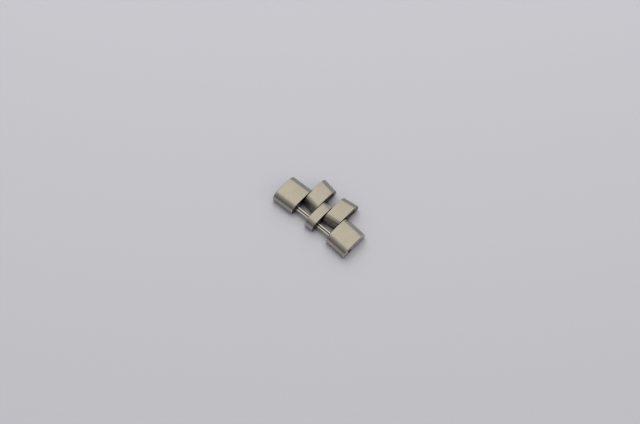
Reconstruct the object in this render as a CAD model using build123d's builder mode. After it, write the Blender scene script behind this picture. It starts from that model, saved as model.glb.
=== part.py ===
"""One row of a five-piece-wide watch bracelet: two outer links and a centre link on a hidden
hinge pin, two hollow inner links that swing on it, and a split pin for the neighbouring row."""

import os
from math import asin, cos, degrees, radians, sin, sqrt, tan

from build123d import *

# Driving sizes, in millimetres. X runs across the bracelet, Y along it and Z up.
# The origin is the middle of the centre link's underside.
row_width = 20.0
outer_width = 5.2
centre_width = 2.1
side_gap = 0.15
link_length = 6.65
row_gap = 0.45
inner_gap = 0.3
outer_height = 2.65
top_step = 0.05
underside_step = 0.25

# Shape of a link seen from its side
crown_radius = 25.0
top_end_radius = 1.5
outer_bottom_radius = 0.4
inner_bottom_share = 0.53
rim_softening = 0.08

# Angles of the link ends seen from above, mirrored from side to side
outer_end_angle = radians(2.8)
inner_end_angle = radians(8.5)

# Pins and their holes
pin_diameter = 1.0
pin_height = 1.15
pin_spacing = 3.3
running_clearance = 0.03
pin_chamfer = 0.1
hinge_pin_cover = 1.0
hinge_pin_end_room = 0.1

# Split pin, one wire folded into two legs side by side
split_pin_recess = 0.22
leg_gap = 0.06
leg_relief = 0.02
leg_tip_chamfer = 0.06
leg_turn = radians(20)
fold_length = 0.9
fold_radius = 0.35

# Room inside an inner link, which is bent from strip
slot_height = 0.6
slot_rise = 0.45
seam_width = 0.1

# The inner links fill the pitch, the width and the height that the outer links leave them
row_pitch = link_length + row_gap
inner_length = row_pitch - inner_gap
inner_width = (row_width - 2 * outer_width - centre_width) / 2 - 2 * side_gap
inner_height = outer_height - top_step - underside_step

# Places that follow from the sizes above
outer_middle_x = (row_width - outer_width) / 2
inner_middle_x = centre_width / 2 + side_gap + inner_width / 2
inner_middle_y = row_pitch / 2
split_pin_y = -pin_spacing / 2
hinge_pin_y = pin_spacing / 2
far_eye_y = split_pin_y + row_pitch
pin_radius = pin_diameter / 2
running_radius = pin_radius + running_clearance
leg_radius = (pin_radius - leg_relief - leg_gap / 2) / 2
leg_offset = leg_radius + leg_gap / 2
split_pin_end = row_width / 2 - split_pin_recess
hinge_seat_end = row_width / 2 - hinge_pin_cover
hinge_pin_end = hinge_seat_end - hinge_pin_end_room
left = -1
right = 1


def crown_tilt(length):
    """Slope of the crown where it meets the end rounds of a link of this length."""
    return asin((length / 2 - top_end_radius) / (crown_radius - top_end_radius))


def end_round_drop(length):
    """Depth of the centres of the end rounds below the middle of the crown."""
    return crown_radius - (crown_radius - top_end_radius) * cos(crown_tilt(length))


def side_outline(x, middle_y, length, underside, height, bottom_radius):
    """Link seen from its side at one X: crowned top, round ends and flat underside."""
    near = middle_y - length / 2
    far = middle_y + length / 2
    near_round = near + top_end_radius
    far_round = far - top_end_radius
    crown_centre = underside + height - crown_radius
    round_centre = underside + height - end_round_drop(length)
    crown_turn = 2 * degrees(crown_tilt(length))
    round_turn = 90 - degrees(crown_tilt(length))
    low = underside + bottom_radius
    with BuildSketch(Plane.YZ.offset(x)) as outline:
        with BuildLine():
            CenterArc((far_round, round_centre), top_end_radius, 0, round_turn)
            CenterArc((middle_y, crown_centre), crown_radius, round_turn, crown_turn)
            CenterArc((near_round, round_centre), top_end_radius, 180 - round_turn, round_turn)
            Line((near, round_centre), (near, low))
            CenterArc((near + bottom_radius, low), bottom_radius, 180, 90)
            Line((near + bottom_radius, underside), (far - bottom_radius, underside))
            CenterArc((far - bottom_radius, low), bottom_radius, 270, 90)
            Line((far, low), (far, round_centre))
        make_face()
    return outline.sketch


def outer_row_link(middle_x, width, end_slope):
    """Solid link of the outer row, drilled for both pins; its ends run at end_slope."""
    left_face = middle_x - width / 2
    left_middle_y = -end_slope * width / 2
    with BuildPart() as link:
        extrude(
            side_outline(left_face, left_middle_y, link_length, 0, outer_height, outer_bottom_radius),
            amount=width * sqrt(1 + end_slope**2),
            dir=(1, end_slope, 0),
        )
        fillet(link.faces().filter_by(Axis.X).edges(), rim_softening)
        with BuildSketch(Plane.YZ):
            with Locations((split_pin_y, pin_height)):
                Circle(running_radius)
        extrude(amount=row_width, both=True, mode=Mode.SUBTRACT)
        with BuildSketch(Plane.YZ.offset(-hinge_seat_end)):
            with Locations((hinge_pin_y, pin_height)):
                Circle(pin_radius)
        extrude(amount=2 * hinge_seat_end, mode=Mode.SUBTRACT)
    return link


def arched_slot():
    """Gap left inside an inner link, which arches over from one eye to the other."""
    floor = pin_height - slot_height / 2
    roof = pin_height + slot_height / 2
    with BuildSketch(Plane.YZ) as slot:
        with BuildLine():
            ThreePointArc((hinge_pin_y, floor), (inner_middle_y, floor + slot_rise), (far_eye_y, floor))
            Line((far_eye_y, floor), (far_eye_y, roof))
            ThreePointArc((far_eye_y, roof), (inner_middle_y, roof + slot_rise), (hinge_pin_y, roof))
            Line((hinge_pin_y, roof), (hinge_pin_y, floor))
        make_face()
    return slot.sketch


def inner_link(side):
    """Hollow inner link: an eye for each pin, a slot between them and a seam underneath."""
    end_slope = side * tan(inner_end_angle)
    left_face = side * inner_middle_x - inner_width / 2
    left_middle_y = inner_middle_y - end_slope * inner_width / 2
    bottom_radius = inner_bottom_share * (inner_height - end_round_drop(inner_length))
    with BuildPart() as link:
        extrude(
            side_outline(
                left_face, left_middle_y, inner_length, underside_step, inner_height, bottom_radius
            ),
            amount=inner_width * sqrt(1 + end_slope**2),
            dir=(1, end_slope, 0),
        )
        fillet(link.faces().filter_by(Axis.X).edges(), rim_softening)
        extrude(arched_slot(), amount=row_width, both=True, mode=Mode.SUBTRACT)
        with BuildSketch(Plane.YZ):
            with Locations((hinge_pin_y, pin_height), (far_eye_y, pin_height)):
                Circle(running_radius)
            with Locations((inner_middle_y, (pin_height + slot_rise) / 2)):
                Rectangle(seam_width, pin_height + slot_rise)
        extrude(amount=row_width, both=True, mode=Mode.SUBTRACT)
    return link


def hinge_rod():
    """Plain pin closed in between the outer links."""
    with BuildPart() as rod:
        with BuildSketch(Plane.YZ.offset(-hinge_pin_end)):
            with Locations((hinge_pin_y, pin_height)):
                Circle(pin_radius)
        extrude(amount=2 * hinge_pin_end)
        chamfer(rod.faces().filter_by(Axis.X).edges(), pin_chamfer)
    return rod


def folded_pin():
    """Split pin: two round legs that part at its left end and join in a fold at its right end."""
    from_leg_to_leg = (0, cos(leg_turn), sin(leg_turn))
    tip_middle = (-split_pin_end, split_pin_y, pin_height)
    with BuildPart() as pin:
        with BuildSketch(Plane(origin=tip_middle, x_dir=from_leg_to_leg, z_dir=(1, 0, 0))):
            with Locations((-leg_offset, 0), (leg_offset, 0)):
                Circle(leg_radius)
        extrude(amount=2 * split_pin_end - fold_length)
        chamfer(pin.faces().group_by(Axis.X)[0].edges(), leg_tip_chamfer)
        with BuildSketch(Plane.YZ.offset(split_pin_end - fold_length)):
            with Locations((split_pin_y, pin_height)):
                Circle(pin_radius)
        extrude(amount=fold_length)
        fillet(pin.faces().sort_by(Axis.X)[-1].edges(), fold_radius)
    return pin


outer_link_left = outer_row_link(-outer_middle_x, outer_width, tan(outer_end_angle))
outer_link_left.part.label = "outer_link_left"

outer_link_right = outer_row_link(outer_middle_x, outer_width, -tan(outer_end_angle))
outer_link_right.part.label = "outer_link_right"

centre_link = outer_row_link(0, centre_width, 0)
centre_link.part.label = "centre_link"

inner_link_left = inner_link(left)
inner_link_left.part.label = "inner_link_left"

inner_link_right = inner_link(right)
inner_link_right.part.label = "inner_link_right"

hinge_pin = hinge_rod()
hinge_pin.part.label = "hinge_pin"

split_pin = folded_pin()
split_pin.part.label = "split_pin"

os.makedirs("parts", exist_ok=True)
export_step(outer_link_left.part, "parts/outer_link_left.step")
export_step(outer_link_right.part, "parts/outer_link_right.step")
export_step(centre_link.part, "parts/centre_link.step")
export_step(inner_link_left.part, "parts/inner_link_left.step")
export_step(inner_link_right.part, "parts/inner_link_right.step")
export_step(hinge_pin.part, "parts/hinge_pin.step")
export_step(split_pin.part, "parts/split_pin.step")
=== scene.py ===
"""Studio picture of one row of a watch bracelet, dressed in brushed steel around its CAD frame."""

from math import cos, radians, sin

import bpy
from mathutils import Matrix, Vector

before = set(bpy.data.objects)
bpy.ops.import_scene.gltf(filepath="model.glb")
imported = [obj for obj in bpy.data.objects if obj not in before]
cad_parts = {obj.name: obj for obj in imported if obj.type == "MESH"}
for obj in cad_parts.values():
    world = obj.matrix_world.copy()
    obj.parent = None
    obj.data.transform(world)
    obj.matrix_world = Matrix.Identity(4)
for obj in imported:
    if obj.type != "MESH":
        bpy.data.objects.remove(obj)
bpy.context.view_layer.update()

MM = 0.001

# Camera, from the vanishing lines and edges of the photograph
PHOTO_WIDTH_PX = 640
SENSOR_WIDTH_MM = 36.0
PIXELS_PER_MM = 4.765
CAMERA_DISTANCE = 300 * MM
CAMERA_ELEVATION = radians(63.5)
CAMERA_AZIMUTH = radians(42.3)
CAMERA_AIM = Vector((-0.908, 1.313, 0)) * MM
CAMERA_NEAREST = 10 * MM

# Linear colours of the links: tops and ends; sides that face out, lightened as painted light; sides
# that face another link, partly unpolished steel and partly painted shade; the bent strip's cut sides,
# raw steel darkened partly as painted shade; and its low near end, darkened partly as painted shade
STEEL = (0.418, 0.40, 0.367)
LIT_SIDE_STEEL = (0.49, 0.452, 0.405)
SHADED_FLANK_STEEL = (0.13, 0.112, 0.097)
SHADED_RAW_STEEL = (0.185, 0.166, 0.146)
SHADED_STRIP_END_STEEL = (0.31, 0.272, 0.235)

# Linear colours of the pins and the surroundings
BRIGHT_STEEL = (0.73, 0.72, 0.69)
FLOOR_GREY = (0.472, 0.472, 0.512)
SHADE_BROWN = (0.06, 0.045, 0.035)
BOARD_COLOUR = (0.54, 0.50, 0.455)
ROOM_COLOUR = (0.50, 0.50, 0.505)

# Soft changes of finish and of painted light and shade over a link. Each lies between two values of how
# far the surface faces along X, for sides and rims, or along Y, for ends and bend, where 1 is straight
# along the axis.
SIDE_FACING = (0.6, 0.9)
RIM_START_FACING = (0.2, 0.5)
RIM_END_FACING = (0.8, 0.97)
NEAR_END_FACING = (-0.9, -0.5)
BEND_FACING = (-0.8, -0.4)
BEND_FOOT_FACING = (-1.0, -0.93)
FAR_END_FACING = (0.05, 0.35)

# Cells of the noise patterns along X, Y and Z, in millimetres
TOP_LINES = (0.03, 2.5, 2.5)
SIDE_LINES = (2.5, 2.5, 0.03)
TOP_BANDS = (0.22, 4.0, 4.0)
SIDE_BANDS = (4.0, 4.0, 0.25)
LINK_CLOUDS = (1.6, 2.6, 1.6)
BEND_STRIPES = (5.0, 0.32, 0.32)
WIRE_LINES = (3.0, 0.02, 0.02)
WIRE_CLOUDS = (1.2, 0.5, 0.5)

# Octaves of a noise, and the values of it that count as its lowest and highest
PLAIN_DETAIL = 2.0
FINE_DETAIL = 3.0
NOISE_SPAN = (0.3, 0.7)
STRIPE_SPAN = (0.35, 0.65)

# Brightness factors that the patterns give a metal, what a rim adds as wear and painted highlight, what
# a stripe takes off as bend mark and painted shade, and the share of the stripes that is left at the
# foot of the bend
LINE_TONES = (0.95, 1.04)
BAND_TONES = (0.97, 1.03)
LINK_CLOUD_TONES = (0.96, 1.03)
WIRE_CLOUD_TONES = (0.95, 1.03)
RIM_WEAR_AND_HIGHLIGHT_GAIN = 0.8
STRIPE_MARK_AND_SHADE_LOSS = 0.5
BEND_FOOT_SHARE = 0.2

# Painted shade in hollows, in the pin's groove and on the floor: how far what hides the surroundings
# may lie, in millimetres, the hidden shares at which the darkening begins and is full, and how dark it
# gets
OCCLUSION_SAMPLES = 16
LINK_HOLLOW_MM = 1.3
LINK_HOLLOW_SHARE = (0.25, 0.6)
WIRE_GROOVE_MM = 0.8
WIRE_GROOVE_SHARE = (0.15, 0.55)
WIRE_GROOVE_SHADE_TONE = 0.1
FLOOR_SHADE_MM = 8.0
FLOOR_SHADE_SHARE = (0.6, 0.8)
FLOOR_SHADE_DEPTH = 0.85

# Split pin: Y of the groove between its legs, across which the near leg gets painted shade and the far
# leg a little painted light, and X where the fold gets painted shade inside its hole
GROOVE_Y = (-1.72 * MM, -1.58 * MM)
LEG_SHADE_TONES = (0.8, 1.02)
FOLD_X = (9.1 * MM, 9.6 * MM)
FOLD_SHADE_TONE = 0.3

# Roughness of each finish, and what a hollow adds to it and a rim takes off
LINK_ROUGHNESS = (0.28, 0.34)
HOLLOW_ROUGHNESS = 0.2
RIM_POLISH = 0.06
WIRE_ROUGHNESS = (0.1, 0.15)
FLOOR_ROUGHNESS = 0.9

# Relief: height of a full bump in millimetres, its strength, and the shares of lines and stripes
LINK_RELIEF_MM = 0.01
WIRE_RELIEF_MM = 0.004
RELIEF_STRENGTH = 0.5
LINE_HEIGHT = 0.4
STRIPE_HEIGHT = 1.5

# Patches of the room that the steel reflects, each laid over the one before it: colour, direction,
# and the nearness to that direction, 1 at it, where the patch begins and where it is full
ROOM_PATCHES = (
    # Dim and low on the left, which the rims catch
    ((0.12, 0.12, 0.12), (-0.93, 0.33, 0.19), 0.75, 0.95),
    # Bright and high on the right, which the rims catch too
    ((1.5, 1.5, 1.46), (0.66, 0.35, 0.66), 0.92, 0.98),
    # Soft, warm and overhead, which the tops reflect
    ((1.36, 1.27, 1.06), (-0.299, 0.281, 0.908), 0.889, 0.98),
)

# Lamp, floor and board, in metres and watts, and the board's glow at its foot and at its top
LAMP_PLACE = (-0.20, 0.22, 0.40)
LAMP_SIZE = 0.58
LAMP_WATTS = 2.3
FLOOR_SIZE = 3.0
BOARD_PLACE = (0, -0.25, 0.25)
BOARD_WIDTH = 1.6
BOARD_HEIGHT = 0.5
BOARD_STRENGTH = (0.2, 1.1)

# Numbers of a Mix node's two inputs and its output, for each kind of value
MIX_SOCKETS = {"FLOAT": (2, 3, 0), "RGBA": (6, 7, 2)}


def plug(tree, socket, value):
    """Give an input a link from another node's socket, a colour or any other value."""
    if isinstance(value, bpy.types.NodeSocket):
        tree.links.new(value, socket)
    elif socket.type == "RGBA":
        socket.default_value = (*value, 1)
    else:
        socket.default_value = value


def node(tree, kind, inputs=None, **settings):
    """New shader node with these settings and inputs, which go by name or number."""
    made = tree.nodes.new(kind)
    for name, value in settings.items():
        setattr(made, name, value)
    for name, value in (inputs or {}).items():
        plug(tree, made.inputs[name], value)
    return made


def new_material(name, kind="ShaderNodeBsdfPrincipled"):
    """Empty node material with one shader wired to its output."""
    material = bpy.data.materials.new(name)
    material.use_nodes = True
    tree = material.node_tree
    tree.nodes.clear()
    shader = node(tree, kind)
    node(tree, "ShaderNodeOutputMaterial", {"Surface": shader.outputs[0]})
    return material, tree, shader


def coordinate(tree, kind, axis):
    """One axis of a texture coordinate, such as Object for the place or Normal for the facing."""
    place = node(tree, "ShaderNodeTexCoord")
    return node(tree, "ShaderNodeSeparateXYZ", {"Vector": place.outputs[kind]}).outputs[axis]


def noise(tree, cell_mm, detail=PLAIN_DETAIL):
    """Noise whose cells measure cell_mm along the part's three axes."""
    place = node(tree, "ShaderNodeTexCoord").outputs["Object"]
    scale = [1 / (size * MM) for size in cell_mm]
    scaled = node(tree, "ShaderNodeMapping", {"Vector": place, "Scale": scale}).outputs["Vector"]
    inputs = {"Vector": scaled, "Scale": 1.0, "Detail": detail}
    return node(tree, "ShaderNodeTexNoise", inputs).outputs["Fac"]


def remap(tree, value, low, high, to_low, to_high):
    """Value moved from one range to another and held at its ends."""
    inputs = {"Value": value, "From Min": low, "From Max": high, "To Min": to_low, "To Max": to_high}
    return node(tree, "ShaderNodeMapRange", inputs).outputs["Result"]


def rise(tree, value, begins, full):
    """Share that grows from 0 where value is at begins to 1 where it is at full."""
    return remap(tree, value, begins, full, 0.0, 1.0)


def fall(tree, value, full, ends):
    """Share that shrinks from 1 where value is at full to 0 where it is at ends."""
    return remap(tree, value, full, ends, 1.0, 0.0)


def vary(tree, pattern, low, high):
    """Noise pattern turned into a number from low to high."""
    return remap(tree, pattern, *NOISE_SPAN, low, high)


def combine(tree, operation, first, second=0.0):
    """Result of a math node on two sockets or numbers."""
    return node(tree, "ShaderNodeMath", {0: first, 1: second}, operation=operation).outputs["Value"]


def product(tree, first, *others):
    """Product of sockets and numbers."""
    for other in others:
        first = combine(tree, "MULTIPLY", first, other)
    return first


def blend(tree, share, first, second, kind="FLOAT", mode="MIX"):
    """First number, or colour where kind is RGBA, at share 0 and second one at share 1."""
    first_input, second_input, output = MIX_SOCKETS[kind]
    inputs = {0: share, first_input: first, second_input: second}
    return node(tree, "ShaderNodeMix", inputs, data_type=kind, blend_type=mode).outputs[output]


def blend_colours(tree, share, first, second, mode="MIX"):
    """Second colour laid over the first one by share."""
    return blend(tree, share, first, second, "RGBA", mode)


def faces_middle(tree):
    """1 on a side that faces the middle of the row and 0 on one that faces outwards."""
    outwards = product(tree, coordinate(tree, "Object", "X"), coordinate(tree, "Normal", "X"))
    return combine(tree, "LESS_THAN", outwards, 0.0)


def enclosed(tree, reach_mm, alone=True):
    """Share of the surroundings that the same piece, or any piece, hides within reach_mm."""
    reach = {"Distance": reach_mm * MM}
    made = node(tree, "ShaderNodeAmbientOcclusion", reach, samples=OCCLUSION_SAMPLES, only_local=alone)
    return combine(tree, "SUBTRACT", 1.0, made.outputs["AO"])


def finish_metal(tree, shader, colour, tone, rough, height, height_mm):
    """Wire the colour, tone, roughness and relief of a metal into its shader."""
    grey = node(tree, "ShaderNodeCombineColor", {"Red": tone, "Green": tone, "Blue": tone})
    relief = {"Height": height, "Strength": RELIEF_STRENGTH, "Distance": height_mm * MM}
    inputs = {
        "Base Color": blend_colours(tree, 1.0, colour, grey.outputs["Color"], "MULTIPLY"),
        "Roughness": rough,
        "Metallic": 1.0,
        "Normal": node(tree, "ShaderNodeBump", relief).outputs["Normal"],
    }
    for name, value in inputs.items():
        plug(tree, shader.inputs[name], value)


def brushed_steel(name, outward, inward, near_end, hollow_shade_tone, bend_marks_and_shade=0.0, far_light_gain=1.0):
    """Link finish: brushed along the bracelet over top, ends and sides, with rims brightened partly by
    wear and partly as painted highlight.

    The sides take the outward colour, or the inward one where they face the middle of the row, and the
    low near end takes the near-end colour; these colours carry painted light and painted shade. Hollows
    darken to the hollow tone as painted shade, the bend-mark strength sets the stripes across the near
    bend, which are bend marks and partly painted shade, and the far gain brightens the far end as
    painted light.
    """
    material, tree, shader = new_material(name)
    lengthwise = coordinate(tree, "Normal", "Y")
    sideways = combine(tree, "ABSOLUTE", coordinate(tree, "Normal", "X"))

    side = rise(tree, sideways, *SIDE_FACING)
    # Rims: brightened partly by wear and partly as painted highlight
    rim = product(tree, rise(tree, sideways, *RIM_START_FACING), fall(tree, sideways, *RIM_END_FACING))
    # Low near end: takes the near-end colour, on the strip darkened partly as painted shade
    shaded_low_near = fall(tree, lengthwise, *NEAR_END_FACING)
    # Hollows: darkened by occlusion as painted shade
    hollow = rise(tree, enclosed(tree, LINK_HOLLOW_MM), *LINK_HOLLOW_SHARE)

    lines = blend(tree, side, noise(tree, TOP_LINES, FINE_DETAIL), noise(tree, SIDE_LINES, FINE_DETAIL))
    bands = blend(tree, side, noise(tree, TOP_BANDS), noise(tree, SIDE_BANDS))
    clouds = noise(tree, LINK_CLOUDS, FINE_DETAIL)
    # Stripes across the near bend: bend marks, whose darkening is partly painted shade
    stripes = product(
        tree,
        remap(tree, lengthwise, *BEND_FACING, bend_marks_and_shade, 0.0),
        remap(tree, lengthwise, *BEND_FOOT_FACING, BEND_FOOT_SHARE, 1.0),
        rise(tree, noise(tree, BEND_STRIPES), *STRIPE_SPAN),
    )

    tone = product(
        tree,
        vary(tree, lines, *LINE_TONES),
        vary(tree, bands, *BAND_TONES),
        vary(tree, clouds, *LINK_CLOUD_TONES),
        # Far end brightened as painted light, and hollows darkened as painted shade
        remap(tree, lengthwise, *FAR_END_FACING, 1.0, far_light_gain),
        blend(tree, hollow, 1.0, hollow_shade_tone),
    )
    tone = combine(tree, "SUBTRACT", tone, product(tree, stripes, STRIPE_MARK_AND_SHADE_LOSS))
    tone = combine(tree, "ADD", tone, product(tree, rim, RIM_WEAR_AND_HIGHLIGHT_GAIN))

    rough = vary(tree, bands, *LINK_ROUGHNESS)
    rough = combine(tree, "ADD", rough, product(tree, hollow, HOLLOW_ROUGHNESS))
    rough = combine(tree, "SUBTRACT", rough, product(tree, rim, RIM_POLISH))

    height = product(tree, lines, LINE_HEIGHT)
    height = combine(tree, "ADD", height, product(tree, stripes, STRIPE_HEIGHT))
    # Near-end colour laid over the steel: painted shade on the strip's near wall
    colour = blend_colours(tree, shaded_low_near, STEEL, near_end)
    # Sides facing the middle of the row take the inward colour, which is partly painted shade
    side_colour = blend_colours(tree, faces_middle(tree), outward, inward)
    colour = blend_colours(tree, side, colour, side_colour)
    finish_metal(tree, shader, colour, tone, rough, height, LINK_RELIEF_MM)
    return material


def drawn_wire():
    """Pin finish: bright wire with fine drawing lines along it, with painted shade in its groove, on
    its near leg and at its fold.
    """
    material, tree, shader = new_material("drawn_wire")
    lines = noise(tree, WIRE_LINES, FINE_DETAIL)
    clouds = noise(tree, WIRE_CLOUDS)
    # Groove between the legs: darkened as painted shade
    groove = rise(tree, enclosed(tree, WIRE_GROOVE_MM), *WIRE_GROOVE_SHARE)
    tone = product(
        tree,
        vary(tree, lines, *LINE_TONES),
        vary(tree, clouds, *WIRE_CLOUD_TONES),
        blend(tree, groove, 1.0, WIRE_GROOVE_SHADE_TONE),
        # Near leg darker and fold darker inside its hole: painted shade
        remap(tree, coordinate(tree, "Object", "Y"), *GROOVE_Y, *LEG_SHADE_TONES),
        remap(tree, coordinate(tree, "Object", "X"), *FOLD_X, 1.0, FOLD_SHADE_TONE),
    )
    rough = vary(tree, clouds, *WIRE_ROUGHNESS)
    finish_metal(tree, shader, BRIGHT_STEEL, tone, rough, lines, WIRE_RELIEF_MM)
    return material


def dress():
    """Give every CAD node its own finish."""
    # The side and near-end colours passed here carry painted light on outward sides and painted shade
    # on inward sides and strip ends
    solid = brushed_steel("brushed_link", LIT_SIDE_STEEL, SHADED_FLANK_STEEL, STEEL, hollow_shade_tone=0.08)
    narrow = brushed_steel(
        "narrow_link", SHADED_FLANK_STEEL, SHADED_FLANK_STEEL, STEEL, hollow_shade_tone=0.08, far_light_gain=1.35
    )
    strip = brushed_steel(
        "bent_strip", SHADED_RAW_STEEL, SHADED_RAW_STEEL, SHADED_STRIP_END_STEEL, hollow_shade_tone=0.4, bend_marks_and_shade=0.9
    )
    wire = drawn_wire()
    finishes = {
        "outer_link_left": solid,
        "outer_link_right": solid,
        "centre_link": narrow,
        "inner_link_left": strip,
        "inner_link_right": strip,
        "hinge_pin": wire,
        "split_pin": wire,
    }
    for name, material in finishes.items():
        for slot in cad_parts[name].material_slots:
            slot.material = material


def matte_floor():
    """Pale matte finish with brown painted shade where the part shuts it in."""
    material, tree, shader = new_material("table_matte")
    shut_in = enclosed(tree, FLOOR_SHADE_MM, alone=False)
    shade = remap(tree, shut_in, *FLOOR_SHADE_SHARE, 0.0, FLOOR_SHADE_DEPTH)
    plug(tree, shader.inputs["Base Color"], blend_colours(tree, shade, FLOOR_GREY, SHADE_BROWN))
    plug(tree, shader.inputs["Roughness"], FLOOR_ROUGHNESS)
    return material


def add_floor():
    """Pale matte floor under the part."""
    bpy.ops.mesh.primitive_plane_add(size=FLOOR_SIZE, location=(0, 0, 0))
    floor = bpy.context.object
    floor.name = "table"
    floor.data.materials.append(matte_floor())


def add_room():
    """Pale room with the patches that the steel reflects."""
    world = bpy.data.worlds.new("room")
    world.use_nodes = True
    bpy.context.scene.world = world
    tree = world.node_tree
    outlook = node(tree, "ShaderNodeTexCoord").outputs["Generated"]
    colour = ROOM_COLOUR
    for patch_colour, direction, begins, full in ROOM_PATCHES:
        inputs = {0: outlook, 1: Vector(direction).normalized()}
        nearness = node(tree, "ShaderNodeVectorMath", inputs, operation="DOT_PRODUCT").outputs["Value"]
        colour = blend_colours(tree, rise(tree, nearness, begins, full), colour, patch_colour)
    plug(tree, tree.nodes["Background"].inputs["Color"], colour)


def add_lamp():
    """Square area lamp that faces the part and casts its soft shadow on the floor."""
    lamp = bpy.data.lights.new("key_light", "AREA")
    lamp.shape = "SQUARE"
    lamp.size = LAMP_SIZE
    lamp.energy = LAMP_WATTS
    holder = bpy.data.objects.new("key_light", lamp)
    holder.location = LAMP_PLACE
    holder.rotation_euler = (-Vector(LAMP_PLACE)).to_track_quat("-Z", "Y").to_euler()
    holder.visible_glossy = False
    bpy.context.scene.collection.objects.link(holder)


def add_shade():
    """Board in front of the part, dim at its foot and paler above, seen only in reflections."""
    upright = (radians(90), 0, 0)
    bpy.ops.mesh.primitive_plane_add(size=1.0, location=BOARD_PLACE, rotation=upright)
    board = bpy.context.object
    board.name = "shade_board"
    board.scale = (BOARD_WIDTH, BOARD_HEIGHT, 1)
    material, tree, shader = new_material("shade_grey", "ShaderNodeEmission")
    strength = remap(tree, coordinate(tree, "Generated", "Y"), 0.0, 1.0, *BOARD_STRENGTH)
    plug(tree, shader.inputs["Color"], BOARD_COLOUR)
    plug(tree, shader.inputs["Strength"], strength)
    board.data.materials.append(material)
    board.visible_camera = False
    board.visible_diffuse = False
    board.visible_shadow = False
    board.visible_transmission = False


def add_camera():
    """Camera at the photograph's place."""
    to_camera = Vector((
        sin(CAMERA_AZIMUTH) * cos(CAMERA_ELEVATION),
        -cos(CAMERA_AZIMUTH) * cos(CAMERA_ELEVATION),
        sin(CAMERA_ELEVATION),
    ))
    lens = bpy.data.cameras.new("photo_camera")
    lens.sensor_width = SENSOR_WIDTH_MM
    lens.lens = PIXELS_PER_MM * CAMERA_DISTANCE / MM / PHOTO_WIDTH_PX * SENSOR_WIDTH_MM
    lens.clip_start = CAMERA_NEAREST
    camera = bpy.data.objects.new("photo_camera", lens)
    camera.location = CAMERA_AIM + to_camera * CAMERA_DISTANCE
    camera.rotation_euler = (-to_camera).to_track_quat("-Z", "Y").to_euler()
    bpy.context.scene.collection.objects.link(camera)
    bpy.context.scene.camera = camera


dress()
add_floor()
add_room()
add_lamp()
add_shade()
add_camera()
bpy.context.scene.view_settings.view_transform = "Standard"
